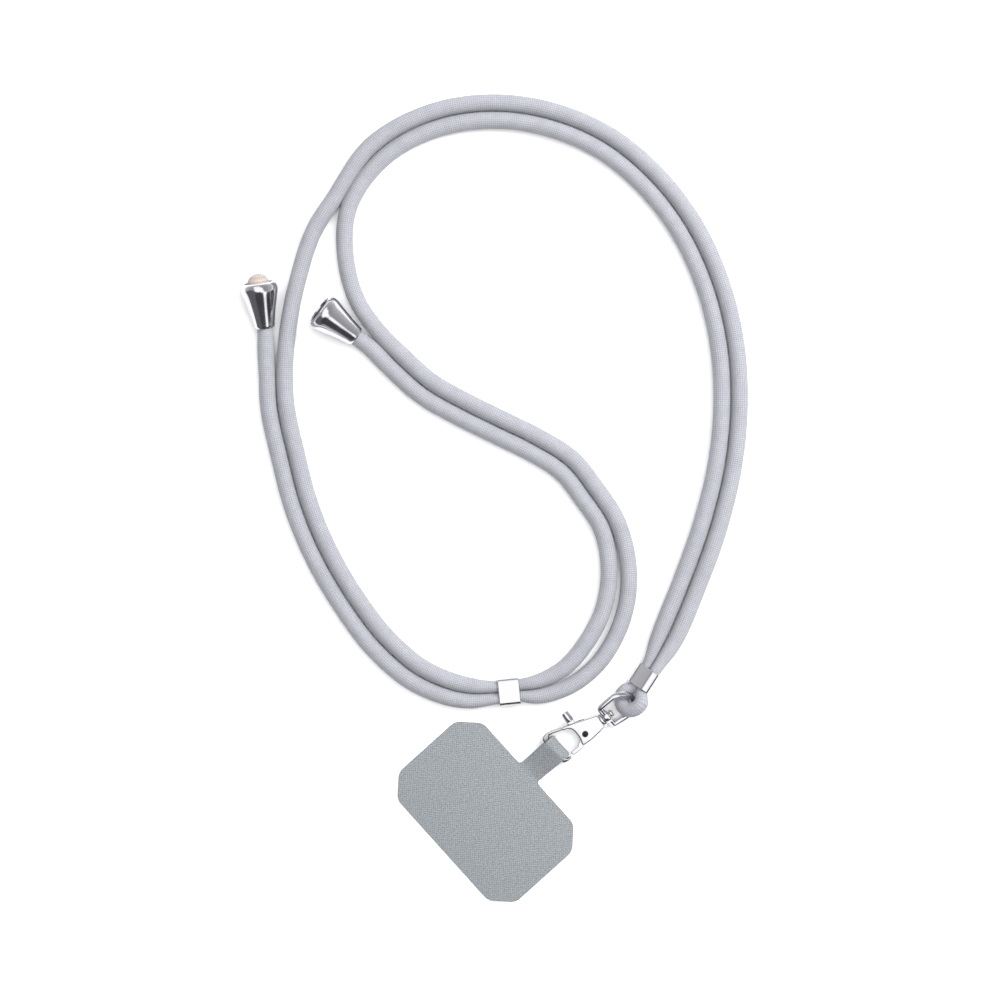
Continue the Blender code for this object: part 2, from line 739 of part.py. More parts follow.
def main():
    clear_scene()
    collection = new_collection(COLLECTION)
    helpers = new_collection("helpers", hidden=True)
    rope_cloth = new_material("rope_cloth", (0.55, 0.55, 0.58), 0.9, 0.0)
    end_cloth = new_material("rope_end_cloth", (0.62, 0.50, 0.45), 0.9, 0.0)
    metal = new_material("polished_metal", (0.78, 0.78, 0.80), 0.12, 1.0)
    pad_cloth = new_material("pad_cloth", (0.36, 0.38, 0.40), 0.85, 0.0)
    frame = add_object("strap_frame", None, collection)
    frame.location = metres((*PLAN_SHIFT, 0.0))
    make_rope(collection, rope_cloth, frame)
    make_clip("slide_clip", CLIP_A_CENTRE, CLIP_A_BEARING, CLIP_A_ROLL, collection, metal, frame)
    make_clip("loop_clip", CLIP_B_CENTRE, CLIP_B_BEARING, CLIP_B_ROLL, collection, metal, frame)
    make_bell(1, BELL_1_NECK, BELL_1_BEARING, BELL_1_KNOT_END, collection, metal, end_cloth, frame)
    make_bell(2, BELL_2_NECK, BELL_2_BEARING, BELL_2_KNOT_END, collection, metal, end_cloth, frame)
    clasp = clasp_frame(frame, collection)
    make_ring(collection, helpers, metal, clasp)
    make_hook(collection, helpers, metal, clasp)
    make_rivet(collection, metal, clasp)
    make_lever(collection, helpers, metal, clasp)
    make_pad(collection, helpers, pad_cloth, frame, clasp)


main()
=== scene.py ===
"""The looks of the phone crossbody strap: knitted rope, plated metal and a woven pad, laid on a
pale table and seen from straight above. Metres throughout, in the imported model's frame.
"""
import math

import bmesh
import bpy
from mathutils import Matrix, Vector


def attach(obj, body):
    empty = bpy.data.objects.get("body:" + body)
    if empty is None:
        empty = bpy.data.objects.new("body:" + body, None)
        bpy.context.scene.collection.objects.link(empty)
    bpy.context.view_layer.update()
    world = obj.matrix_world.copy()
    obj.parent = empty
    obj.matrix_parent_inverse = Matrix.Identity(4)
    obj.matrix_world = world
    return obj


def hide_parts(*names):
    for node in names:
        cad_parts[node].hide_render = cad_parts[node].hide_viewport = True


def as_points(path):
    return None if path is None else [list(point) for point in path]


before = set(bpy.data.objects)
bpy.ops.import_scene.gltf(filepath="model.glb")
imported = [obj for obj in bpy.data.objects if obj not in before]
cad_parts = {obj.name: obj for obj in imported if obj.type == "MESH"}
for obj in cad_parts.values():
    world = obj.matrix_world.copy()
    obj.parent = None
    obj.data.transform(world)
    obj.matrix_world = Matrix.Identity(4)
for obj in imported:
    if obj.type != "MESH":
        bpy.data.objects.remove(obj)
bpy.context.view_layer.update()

MM = 0.001

# Photograph: the view is square, looks straight down and is this wide at the rope's height.
VIEW_WIDTH = 0.3571
VIEW_CENTRE = (0.0019, -0.0005)
LENS = 100.0
SENSOR = 36.0

# The same frame as the solids: the laid plan is moved so that its box is centred.
PLAN_SHIFT = Vector((-0.000435, -0.000285, 0.0))

# Rope.
ROPE_DIAMETER = 0.0061
ROPE_NECK_DIAMETER = 0.0057
ROPE_CLIP_DIAMETER = 0.0041
ROPE_FOLD_DIAMETER = 0.0053
ROPE_HEIGHT = ROPE_DIAMETER / 2
STRAND_GAP = 0.00025
FLOOR_GAP = 0.00002
POINT_STEP = 0.025
RIB_PITCH = 0.00074
RIB_HEIGHT = 0.00005
RIB_RINGS = 2
ROPE_SIDES = 18

# The route's points, as in the part's source. Shared lines run between two strands side by side.
# Columns: x, y, z, strand diameter, roll in degrees of the pair about its line.
LOWER_LINE = [
    (-0.0773, 0.0348, ROPE_HEIGHT, ROPE_DIAMETER, 0),
    (-0.0684, -0.0030, ROPE_HEIGHT, ROPE_DIAMETER, 0),
    (-0.0513, -0.0370, ROPE_HEIGHT, ROPE_DIAMETER, 0),
    (-0.0259, -0.0634, ROPE_HEIGHT, ROPE_DIAMETER, 0),
    (-0.0077, -0.0693, ROPE_HEIGHT, 0.0054, 0),
]
MIDDLE_LINE = [
    (0.0412, -0.0088, ROPE_HEIGHT, ROPE_DIAMETER, 0),
    (0.0265, 0.0118, ROPE_HEIGHT, ROPE_DIAMETER, 0),
    (0.0016, 0.0259, ROPE_HEIGHT, ROPE_DIAMETER, 0),
    (-0.0240, 0.0396, ROPE_HEIGHT, ROPE_DIAMETER, 0),
    (-0.0430, 0.0574, ROPE_HEIGHT, ROPE_DIAMETER, 0),
]
TOP_LINE = [
    (-0.0545, 0.1052, ROPE_HEIGHT, ROPE_DIAMETER, 0),
    (-0.0416, 0.1240, ROPE_HEIGHT, ROPE_DIAMETER, 0),
    (-0.0203, 0.1356, ROPE_HEIGHT, ROPE_DIAMETER, 0),
    (0.0045, 0.1384, ROPE_HEIGHT, ROPE_DIAMETER, 0),
    (0.0395, 0.1275, ROPE_HEIGHT, ROPE_DIAMETER, 0),
    (0.0684, 0.0980, ROPE_HEIGHT, ROPE_DIAMETER, 0),
    (0.0834, 0.0560, ROPE_HEIGHT, ROPE_DIAMETER, 0),
    (0.0827, 0.0123, ROPE_HEIGHT, ROPE_DIAMETER, 0),
    (0.0700, -0.0302, ROPE_HEIGHT, ROPE_DIAMETER, 0),
    (0.0609, -0.0516, 0.0036, 0.0055, 16),
]
# Single strands. Columns: x, y, z, strand diameter.
FROM_BELL_1 = [
    (-0.0813, 0.0546, 0.0032, ROPE_DIAMETER),
    (-0.0808, 0.0434, ROPE_HEIGHT, ROPE_DIAMETER),
]
OUTER_BEND = [
    (0.0136, -0.0705, ROPE_HEIGHT, 0.0049),
    (0.0256, -0.0674, ROPE_HEIGHT, 0.0059),
    (0.0368, -0.0592, ROPE_HEIGHT, ROPE_DIAMETER),
    (0.0445, -0.0470, ROPE_HEIGHT, ROPE_DIAMETER),
    (0.0481, -0.0335, ROPE_HEIGHT, ROPE_DIAMETER),
    (0.0477, -0.0200, ROPE_HEIGHT, ROPE_DIAMETER),
]
INNER_BEND = [
    (0.0142, -0.0653, ROPE_HEIGHT, 0.0049),
    (0.0246, -0.0606, ROPE_HEIGHT, 0.0059),
    (0.0334, -0.0508, ROPE_HEIGHT, ROPE_DIAMETER),
    (0.0394, -0.0386, ROPE_HEIGHT, ROPE_DIAMETER),
    (0.0412, -0.0235, ROPE_HEIGHT, ROPE_DIAMETER),
]
PAST_BELL_2 = [
    (-0.0486, 0.0709, ROPE_HEIGHT, ROPE_DIAMETER),
    (-0.0526, 0.0850, ROPE_HEIGHT, ROPE_DIAMETER),
]
LEFT_SIDE = [
    (-0.0632, 0.0977, ROPE_HEIGHT, ROPE_DIAMETER),
    (-0.0698, 0.0786, ROPE_HEIGHT, ROPE_DIAMETER),
    (-0.0734, 0.0605, ROPE_HEIGHT, ROPE_DIAMETER),
]

# Clips: pressed bands round two strands. Bearings and rolls are in degrees.
CLIP_LENGTH = 0.0076
CLIP_WALL = 0.00045
CLIP_GAP = 0.0003
CLIP_EASE = CLIP_WALL * 0.3
CLIP_MARGIN = 0.0008
CLIP_A = {"centre": (0.0056, -0.0686, 0.0029), "bearing": 5.6, "roll": 0.0, "corner": 0.0015}
CLIP_B = {"centre": (0.0539, -0.0639, 0.0045), "bearing": 237.1, "roll": 42.0, "corner": 0.0023}

# End bells and the rope's ends in them.
BELL_LENGTH = 0.0164
BELL_NECK_RADIUS = 0.00365
BELL_MOUTH_RADIUS = 0.0067
BELL_SHOULDER = 0.87
BELL_LIFT = 0.00005
ROPE_IN_BELL = 0.0063
KNOT_RADIUS = 0.0039
KNOT_START = 0.007
KNOT_DOME = 0.0032
KNOT_EDGE = 0.0008
BELL_1 = {"neck": (-0.0816, 0.0613), "bearing": 97.3, "knot_end": 0.0194}
BELL_2 = {"neck": (-0.0491, 0.0580), "bearing": 143.2, "knot_end": 0.0146}
# The bell's outside from the mouth's rolled rim to the neck, as shares of its flare and length.
BELL_OUTSIDE = [
    (0.5, 1.0), (0.7, 0.985), (0.86, 0.955), (0.96, 0.91), (1.0, 0.86), (0.97, 0.8),
    (0.84, 0.7), (0.56, 0.5), (0.3, 0.3), (0.1, 0.12), (0.03, 0.04), (-0.06, 0.0),
]
# Its inside from neck to mouth. Columns: radius, way along.
BELL_INSIDE = [
    (ROPE_NECK_DIAMETER / 2 + CLIP_GAP, 0.0),
    (ROPE_NECK_DIAMETER / 2 + CLIP_GAP, KNOT_START * 0.8),
    (KNOT_RADIUS + 0.0004, KNOT_START),
    (KNOT_RADIUS + 0.0006, BELL_LENGTH * 0.6),
    (BELL_MOUTH_RADIUS - 0.0016, BELL_LENGTH * 0.8),
    (BELL_MOUTH_RADIUS - 0.0014, BELL_LENGTH * 0.9),
    (BELL_MOUTH_RADIUS - 0.0017, BELL_LENGTH * 0.97),
]

# Swivel ring and clasp.
FOLD_REACH = 0.0081
FOLD_HEIGHT = 0.0057
FOLD_CLEARANCE = 0.0008
RING_WIRE = 0.0022
RING_LENGTH = 0.0114
RING_HALF_WIDTH = 0.0058
RING_CORNER = 0.002
RING_ROLL = 40.0
RING_BOSS_RADIUS = 0.0023
RING_BOSS_EASE = 0.0003
AXIS_BEARING = 216.3
POST_GAP = 0.0003
POST_START = RING_WIRE / 2 + POST_GAP
POST_RADIUS = 0.00095
POST_HEAD_RADIUS = 0.0017
POST_HEAD_LENGTH = 0.0012
COLLAR_RADIUS = 0.0026
COLLAR_END = POST_START + 0.0012
NECK_RADIUS = 0.00195
NECK_END = COLLAR_END + 0.0024
OVERLAP = 0.0002
# Round parts along the swivel's axis. Columns: start, end, radius, eased edge.
TURNED_PARTS = [
    (POST_START, COLLAR_END, COLLAR_RADIUS, 0.0003),
    (COLLAR_END - OVERLAP, NECK_END, NECK_RADIUS, 0.0002),
    (-POST_START - OVERLAP, POST_START + OVERLAP, POST_RADIUS, 0.0001),
    (-POST_START - POST_HEAD_LENGTH, -POST_START, POST_HEAD_RADIUS, 0.0004),
]
CHEEK_THICKNESS = 0.004
CHEEK_EDGE = 0.0006
CHEEK_CORNER = 0.5
HOOK_THICKNESS = 0.0023
HOOK_EDGE = 0.00055
SLOT_HEIGHT = 0.0023
SLOT_X = (0.007, 0.0132)
SLOT_Y = (-0.009, 0.007)
PIVOT = (0.0097, 0.0004)
RIVET_RADIUS = 0.0007
RIVET_HEAD_RADIUS = 0.0011
RIVET_HEAD_HEIGHT = 0.0004
RIVET_EASE = 0.0002
LEVER_THICKNESS = 0.0017
LEVER_EDGE = 0.0003
NUB = {"x": 0.0114, "y": (-0.0101, -0.0062), "radius": 0.00162, "ease": 0.0005}
BOW_CENTRE = (0.02196, -0.00115)

# Clasp outlines in its own frame: +X runs from the ring's base bar along the swivel's axis.
BODY_OUTLINE = [
    (2.2, -2.4), (9.4, -4.75), (13.1, -5.8), (15.6, -6.5), (15.6, -5.2), (13.9, -4.7),
    (12.75, -3.9), (12.3, -2.4), (12.2, -0.6), (12.4, 1.3), (12.9, 2.6), (12.6, 3.5),
    (9.1, 3.6), (4.8, 3.0), (2.9, 2.6), (2.2, 2.2),
]
HOOK_OUTLINE = [
    (13.4, -5.9), (15.6, -6.5), (19.0, -7.6), (21.4, -8.0), (23.2, -7.4), (23.8, -5.8),
    (23.2, -1.0), (22.7, 3.3), (22.2, 4.3), (21.2, 4.8), (19.9, 4.85), (18.65, 4.75),
    (18.8, 3.7), (19.9, 3.75), (20.3, 3.6), (20.8, -1.0), (21.25, -5.4), (21.2, -6.2),
    (20.6, -6.65), (19.2, -6.45), (13.9, -4.75), (13.4, -4.5),
]
LEVER_OUTLINE = [
    (17.95, 3.2), (17.6, 4.3), (14.1, 4.2), (12.4, 3.6), (10.6, 2.5), (9.2, 2.6), (7.9, 1.7),
    (7.5, 0.4), (7.9, -0.8), (9.0, -2.6), (10.1, -5.0), (10.1, -6.8), (10.5, -9.2),
    (11.4, -9.6), (12.3, -9.3), (12.8, -6.8), (12.8, -4.4), (11.9, -2.0), (11.9, -0.2),
    (12.9, 1.5), (14.3, 2.0), (14.5, 2.6), (17.8, 2.7),
]

# Pad and its tab.
PAD_LENGTH = 0.0627
PAD_WIDTH = 0.0412
PAD_THICKNESS = 0.001
PAD_CORNER = 0.0071
PAD_ROUND = 2.0
PAD_EDGE = 0.0003
PAD_BEARING = 42.0
TAB_WIDTH = 0.009
TAB_LENGTH = 0.0158
TAB_THICKNESS = 0.001
LOOP_RADIUS = 0.002
TAB_FILLET = 0.0008
# The folded tab's upper side from loop to pad. Columns: way out from the pad's edge, height above
# where it lies on the pad.
TAB_TOP = [(0.0066, 0.0022), (0.0036, 0.0009), (0.001, 0.0001), (-0.002, -0.0001)]


# Patterns, each from a size on the real object. A knitted course is about 0.5 mm and a thread of
# the pad's weave 0.3 mm. Both are drawn coarser, at the sizes here, so that they show in the render.
STITCH_COLUMNS = 24
STITCH_SLANT = 0.9
YARN_TENSION = 0.0045
YARN_FUZZ = 0.00056
THREAD_PITCH = 0.0005
THREAD_DRIFT = 0.0059
THREAD_SLUB = 0.00053
HANDLING_HAZE = 0.0038

# Cards and lit panels in the room, later ones over earlier ones.
# Columns: bearing and height in degrees, half angle, soft edge, tone.
CARDS = [
    (-135.0, 24.0, 34.0, 10.0, "#58585c"),
    (-84.0, 36.0, 20.0, 9.0, "#3c3c40"),
    (-42.0, 3.0, 20.0, 8.0, "#303034"),
    (-41.0, 36.0, 8.0, 4.0, "#ffffff"),
    (-40.0, 58.0, 9.0, 5.0, "#ffffff"),
    (115.0, 58.0, 15.0, 8.0, "#f4f4f6"),
    (0.0, 90.0, 22.0, 9.0, "#ffffff"),
]
FLOOR_HALF = 3.0
ROOM_STRENGTH = 1.65
ROOM_FADE = 0.7
KEY_LIGHT = {"place": (0.75, 0.55, 0.8), "size": 0.6, "power": 15.0}
TOP_LIGHT = {"place": (0.1, 0.1, 1.6), "size": 1.6, "power": 20.0}


# Materials.

def linear(hex_colour):
    """An sRGB hex colour as linear RGBA."""
    parts = [int(hex_colour[i:i + 2], 16) / 255 for i in (1, 3, 5)]
    return (*[c / 12.92 if c <= 0.04045 else ((c + 0.055) / 1.055) ** 2.4 for c in parts], 1.0)


def add_node(tree, kind, settings=None, inputs=None):
    """A new node with its settings; each input gets a value, or a link from another node's output."""
    node = tree.nodes.new(kind)
    for name, value in (settings or {}).items():
        setattr(node, name, value)
    for key, value in (inputs or {}).items():
        if isinstance(value, bpy.types.NodeSocket):
            tree.links.new(value, node.inputs[key])
        else:
            node.inputs[key].default_value = value
    return node


def new_material(name, settings):
    """A material whose constants are set on the shader's own sockets."""
    material = bpy.data.materials.new(name)
    material.use_nodes = True
    tree = material.node_tree
    shader = tree.nodes["Principled BSDF"]
    for socket, value in settings.items():
        shader.inputs[socket].default_value = value
    return material, tree, shader


def stitch_height(tree):
    """Height from 0 to 1 of the stitches: courses across the rope, bent to a V in each column."""
    knit = add_node(tree, "ShaderNodeAttribute", {"attribute_name": "knit"})
    split = add_node(tree, "ShaderNodeSeparateXYZ", inputs={0: knit.outputs["Vector"]})
    angle = add_node(tree, "ShaderNodeMath", {"operation": "ARCTAN2"},
                     {0: split.outputs["Z"], 1: split.outputs["Y"]})
    column = add_node(tree, "ShaderNodeMath", {"operation": "MULTIPLY_ADD"},
                      {0: angle.outputs[0], 1: STITCH_COLUMNS / (2 * math.pi), 2: STITCH_COLUMNS / 2})
    share = add_node(tree, "ShaderNodeMath", {"operation": "FRACT"}, {0: column.outputs[0]})
    off = add_node(tree, "ShaderNodeMath", {"operation": "SUBTRACT"}, {0: share.outputs[0], 1: 0.5})
    aside = add_node(tree, "ShaderNodeMath", {"operation": "ABSOLUTE"}, {0: off.outputs[0]})
    course = add_node(tree, "ShaderNodeMath", {"operation": "MULTIPLY_ADD"},
                      {0: aside.outputs[0], 1: STITCH_SLANT, 2: split.outputs["X"]})
    turn = add_node(tree, "ShaderNodeMath", {"operation": "MULTIPLY"}, {0: course.outputs[0], 1: math.pi})
    wave = add_node(tree, "ShaderNodeMath", {"operation": "SINE"}, {0: turn.outputs[0]})
    rib = add_node(tree, "ShaderNodeMath", {"operation": "ABSOLUTE"}, {0: wave.outputs[0]})
    swing = add_node(tree, "ShaderNodeMath", {"operation": "MULTIPLY"}, {0: off.outputs[0], 1: 2 * math.pi})
    bulge = add_node(tree, "ShaderNodeMath", {"operation": "COSINE"}, {0: swing.outputs[0]})
    crown = add_node(tree, "ShaderNodeMath", {"operation": "MULTIPLY_ADD"},
                     {0: bulge.outputs[0], 1: 0.3, 2: 0.7})
    height = add_node(tree, "ShaderNodeMath", {"operation": "MULTIPLY"},
                      {0: rib.outputs[0], 1: crown.outputs[0]})
    return height.outputs[0]


def knitted_polyester(name, painted_groove_shade, crest):
    """Textured polyester yarn knitted in the round. The eye sees fine rows of V stitches with soft dark
    grooves, a quite matt face, and a faint pale rim where loose fibres catch the light. The grooves' darker
    colour is painted shade.
    """
    material, tree, shader = new_material(name, {
        "Roughness": 0.85, "Sheen Weight": 0.15, "Sheen Roughness": 0.5, "Specular IOR Level": 0.2,
    })
    place = add_node(tree, "ShaderNodeTexCoord").outputs["Object"]
    # Fibre ends break up each stitch. They are far finer than this, so they are drawn coarser.
    fuzz = add_node(tree, "ShaderNodeTexNoise",
                    inputs={"Vector": place, "Scale": 1 / YARN_FUZZ, "Detail": 3.0})
    rough = add_node(tree, "ShaderNodeMath", {"operation": "MULTIPLY_ADD"},
                     {0: fuzz.outputs["Fac"], 1: 0.7, 2: -0.35})
    height = add_node(tree, "ShaderNodeMath", {"operation": "ADD"},
                      {0: stitch_height(tree), 1: rough.outputs[0]})
    # The colour follows the height: the low grooves take the darker colour, which is painted shade, and the
    # fibre noise in the height adds random tone.
    yarn = add_node(tree, "ShaderNodeMix", {"data_type": "RGBA"},
                    {0: height.outputs[0], 6: linear(painted_groove_shade), 7: linear(crest)})
    # Uneven yarn tension: stitches a little lighter or darker over a few millimetres.
    tension = add_node(tree, "ShaderNodeTexNoise",
                       inputs={"Vector": place, "Scale": 1 / YARN_TENSION, "Detail": 4.0})
    tone = add_node(tree, "ShaderNodeMapRange", inputs={
        "Value": tension.outputs["Fac"], "From Min": 0.3, "From Max": 0.7, "To Min": 0.95, "To Max": 1.05,
    })
    toned = add_node(tree, "ShaderNodeMix", {"data_type": "RGBA", "blend_type": "MULTIPLY"},
                     {0: 1.0, 6: yarn.outputs[2], 7: tone.outputs[0]})
    bump = add_node(tree, "ShaderNodeBump",
                    inputs={"Height": height.outputs[0], "Strength": 0.55, "Distance": 0.00012})
    tree.links.new(toned.outputs[2], shader.inputs["Base Color"])
    tree.links.new(bump.outputs["Normal"], shader.inputs["Normal"])
    return material


def plated_zinc(name, colour):
    """Zinc alloy, die-cast, polished and nickel-plated: a near mirror that shows the room's cards as
    crisp light and dark bands, blurred a little where it has been handled.
    """
    material, tree, shader = new_material(name, {"Metallic": 1.0, "Base Color": linear(colour)})
    place = add_node(tree, "ShaderNodeTexCoord").outputs["Object"]
    haze = add_node(tree, "ShaderNodeTexNoise",
                    inputs={"Vector": place, "Scale": 1 / HANDLING_HAZE, "Detail": 4.0})
    rough = add_node(tree, "ShaderNodeMapRange", inputs={
        "Value": haze.outputs["Fac"], "From Min": 0.3, "From Max": 0.7, "To Min": 0.1, "To Max": 0.17,
    })
    bump = add_node(tree, "ShaderNodeBump",
                    inputs={"Height": haze.outputs["Fac"], "Strength": 0.1, "Distance": 0.00003})
    tree.links.new(rough.outputs[0], shader.inputs["Roughness"])
    tree.links.new(bump.outputs["Normal"], shader.inputs["Normal"])
    return material


def steel_with_painted_shade(name, colour):
    """A steel pin coloured dark: it reads as a small dull spot on the bright clasp. The dark colour is
    painted shade, in place of a sunk rivet end.
    """
    return new_material(name, {"Metallic": 1.0, "Base Color": linear(colour), "Roughness": 0.42})[0]


def woven_polyester(name, painted_gap_shade, thread_face):
    """Close plain weave of spun polyester. The eye sees a fine grid of over and under threads with random
    light and dark ones, quite matt. The low places between threads take a darker colour, which is painted
    shade.
    """
    material, tree, shader = new_material(name, {
        "Roughness": 0.88, "Sheen Weight": 0.1, "Sheen Roughness": 0.5, "Specular IOR Level": 0.2,
    })
    weave = add_node(tree, "ShaderNodeAttribute", {"attribute_name": "weave"})
    split = add_node(tree, "ShaderNodeSeparateXYZ", inputs={0: weave.outputs["Vector"]})
    place = add_node(tree, "ShaderNodeTexCoord").outputs["Object"]
    # Threads wander a little, as woven ones do, so the grid never lines up over the whole pad.
    wander = add_node(tree, "ShaderNodeTexNoise",
                      inputs={"Vector": place, "Scale": 1 / THREAD_DRIFT, "Detail": 2.0})
    drift = add_node(tree, "ShaderNodeMath", {"operation": "MULTIPLY"}, {0: wander.outputs["Fac"], 1: 9.0})
    waves = []
    for way in ("X", "Y"):
        turn = add_node(tree, "ShaderNodeMath", {"operation": "MULTIPLY_ADD"},
                        {0: split.outputs[way], 1: math.pi, 2: drift.outputs[0]})
        wave = add_node(tree, "ShaderNodeMath", {"operation": "SINE"}, {0: turn.outputs[0]})
        waves.append(wave.outputs[0])
    cross = add_node(tree, "ShaderNodeMath", {"operation": "MULTIPLY"}, {0: waves[0], 1: waves[1]})
    over = add_node(tree, "ShaderNodeMath", {"operation": "MULTIPLY_ADD"},
                    {0: cross.outputs[0], 1: 0.3, 2: 0.5})
    # Slubs: thicker and thinner stretches of the spun thread.
    slub = add_node(tree, "ShaderNodeTexNoise",
                    inputs={"Vector": place, "Scale": 1 / THREAD_SLUB, "Detail": 3.0})
    uneven = add_node(tree, "ShaderNodeMath", {"operation": "MULTIPLY_ADD"},
                      {0: slub.outputs["Fac"], 1: 1.6, 2: -0.8})
    height = add_node(tree, "ShaderNodeMath", {"operation": "ADD"},
                      {0: over.outputs[0], 1: uneven.outputs[0]})
    # The colour follows the height: low places between threads take the darker colour, which is painted
    # shade, and the slubs add random tone.
    thread = add_node(tree, "ShaderNodeMix", {"data_type": "RGBA"},
                      {0: height.outputs[0], 6: linear(painted_gap_shade), 7: linear(thread_face)})
    bump = add_node(tree, "ShaderNodeBump",
                    inputs={"Height": height.outputs[0], "Strength": 0.5, "Distance": 0.0001})
    tree.links.new(thread.outputs[2], shader.inputs["Base Color"])
    tree.links.new(bump.outputs["Normal"], shader.inputs["Normal"])
    return material


# Shapes.

def plan_direction(bearing):
    angle = math.radians(bearing)
    return Vector((math.cos(angle), math.sin(angle), 0.0))


def frame_matrix(origin, x_axis, z_axis):
    """A placing matrix from an origin, an x axis and a rough z axis."""
    x_axis = x_axis.normalized()
    y_axis = z_axis.cross(x_axis).normalized()
    matrix = Matrix((x_axis, y_axis, x_axis.cross(y_axis))).transposed().to_4x4()
    matrix.translation = origin
    return matrix


def in_frame(place):
    """A place of the laid plan, moved as the solids are."""
    return Matrix.Translation(PLAN_SHIFT) @ place


def add_piece(name, data, material, body, nodes=(), place=None):
    """A visible piece with its finish, riding on a body and standing for CAD nodes."""
    obj = bpy.data.objects.new(name, data)
    bpy.context.scene.collection.objects.link(obj)
    data.materials.append(material)
    if place is not None:
        obj.matrix_world = place
    bpy.context.view_layer.update()
    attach(obj, body)
    if nodes:
        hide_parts(*nodes)
    return obj


def smooth(mesh, angle=35.0):
    """Smooth shading that keeps edges sharper than the angle."""
    mesh.shade_smooth()
    mesh.set_sharp_from_angle(angle=math.radians(angle))


def mesh_from(points, faces, name):
    mesh = bpy.data.meshes.new(name)
    mesh.from_pydata([tuple(p) for p in points], [], faces)
    mesh.update()
    return mesh


def ring_faces(rings, sides, closed=False):
    """Quads between consecutive rings of points; closed joins the last ring to the first."""
    faces = []
    for i in range(rings if closed else rings - 1):
        for k in range(sides):
            a, b = i * sides, (i + 1) % rings * sides
            following = (k + 1) % sides
            faces.append((a + k, a + following, b + following, b + k))
    return faces


# Rope.

def chord_tangent(before, here, after):
    one = (here.xy - before.xy).length
    two = (after.xy - here.xy).length
    if one == 0:
        return (after - here) / two
    if two == 0:
        return (here - before) / one
    return ((here - before) / one * two + (after - here) / two * one) / (one + two)


def smooth_rows(rows, step):
    """Rows read from a Catmull-Rom curve through the given rows, no further apart than step."""
    rows = [Vector(row) for row in rows]
    found = []
    for i in range(len(rows) - 1):
        start, end = rows[i], rows[i + 1]
        length = (end.xy - start.xy).length
        count = max(1, math.ceil(length / step))
        leave = chord_tangent(rows[max(i - 1, 0)], start, end) * length
        arrive = chord_tangent(start, end, rows[min(i + 2, len(rows) - 1)]) * length
        for k in range(count):
            t = k / count
            found.append(
                start * (2 * t**3 - 3 * t**2 + 1) + leave * (t**3 - 2 * t**2 + t)
                + end * (3 * t**2 - 2 * t**3) + arrive * (t**3 - t**2)
            )
    found.append(rows[-1])
    return found


def strand_beside(line, side):
    """The strand on one side of a shared line: 1 is left of travel, -1 right."""
    rows = smooth_rows(line, POINT_STEP)
    strand = []
    for i, row in enumerate(rows):
        travel = (rows[min(i + 1, len(rows) - 1)].xy - rows[max(i - 1, 0)].xy).normalized()
        x, y, z, diameter, roll = row
        roll = math.radians(roll)
        across = Vector((-travel.y * math.cos(roll), travel.x * math.cos(roll), math.sin(roll)))
        offset = across * side * (diameter + STRAND_GAP) / 2
        strand.append((*(Vector((x, y, z)) + offset), diameter))
    return strand


def bell_tilt():
    return math.atan((BELL_MOUTH_RADIUS - BELL_NECK_RADIUS) / (BELL_LENGTH * BELL_SHOULDER))


def bell_axis(bell):
    flat, tilt = plan_direction(bell["bearing"]), bell_tilt()
    return Vector((flat.x * math.cos(tilt), flat.y * math.cos(tilt), math.sin(tilt)))


def bell_neck(bell):
    return Vector((*bell["neck"], BELL_NECK_RADIUS / math.cos(bell_tilt()) + BELL_LIFT))


def rope_in_bell(bell):
    """The strand's straight stretch through a bell's neck, from inside out."""
    neck, axis = bell_neck(bell), bell_axis(bell)
    return [(*(neck + axis * along), ROPE_NECK_DIAMETER) for along in (ROPE_IN_BELL, -0.001)]


def clip_ways(clip):
    along, roll = plan_direction(clip["bearing"]), math.radians(clip["roll"])
    left = Vector((-along.y, along.x, 0.0))
    return along, left * math.cos(roll) + Vector((0, 0, math.sin(roll)))


def strand_in_clip(clip, side):
    along, across = clip_ways(clip)
    middle = Vector(clip["centre"]) + across * side * (ROPE_CLIP_DIAMETER + STRAND_GAP) / 2
    reach = CLIP_LENGTH / 2 + CLIP_MARGIN
    return [(*(middle + along * way * reach), ROPE_CLIP_DIAMETER) for way in (-1, 1)]


def fold_centre():
    plan = Vector((CLIP_B["centre"][0], CLIP_B["centre"][1], FOLD_HEIGHT))
    return plan + plan_direction(CLIP_B["bearing"]) * FOLD_REACH


def rope_fold():
    centre, (along, across) = fold_centre(), clip_ways(CLIP_B)
    radius = ROPE_FOLD_DIAMETER / 2 + FOLD_CLEARANCE + RING_WIRE / 2
    ways = [across * -math.cos(math.radians(a)) + along * math.sin(math.radians(a))
            for a in range(0, 181, 30)]
    return [(*(centre + way * radius), ROPE_FOLD_DIAMETER) for way in ways]


def rope_route():
    """Every chosen point of the rope as (x, y, z, diameter), from bell 1 to bell 2."""
    runs = [
        rope_in_bell(BELL_1),
        FROM_BELL_1,
        strand_beside(LOWER_LINE, -1),
        strand_in_clip(CLIP_A, -1),
        OUTER_BEND,
        strand_beside(MIDDLE_LINE, -1),
        PAST_BELL_2,
        strand_beside(TOP_LINE, -1),
        strand_in_clip(CLIP_B, -1),
        rope_fold(),
        reversed(strand_in_clip(CLIP_B, 1)),
        reversed(strand_beside(TOP_LINE, 1)),
        LEFT_SIDE,
        strand_beside(LOWER_LINE, 1),
        strand_in_clip(CLIP_A, 1),
        INNER_BEND,
        strand_beside(MIDDLE_LINE, 1),
        reversed(rope_in_bell(BELL_2)),
    ]
    return [row for run in runs for row in run]


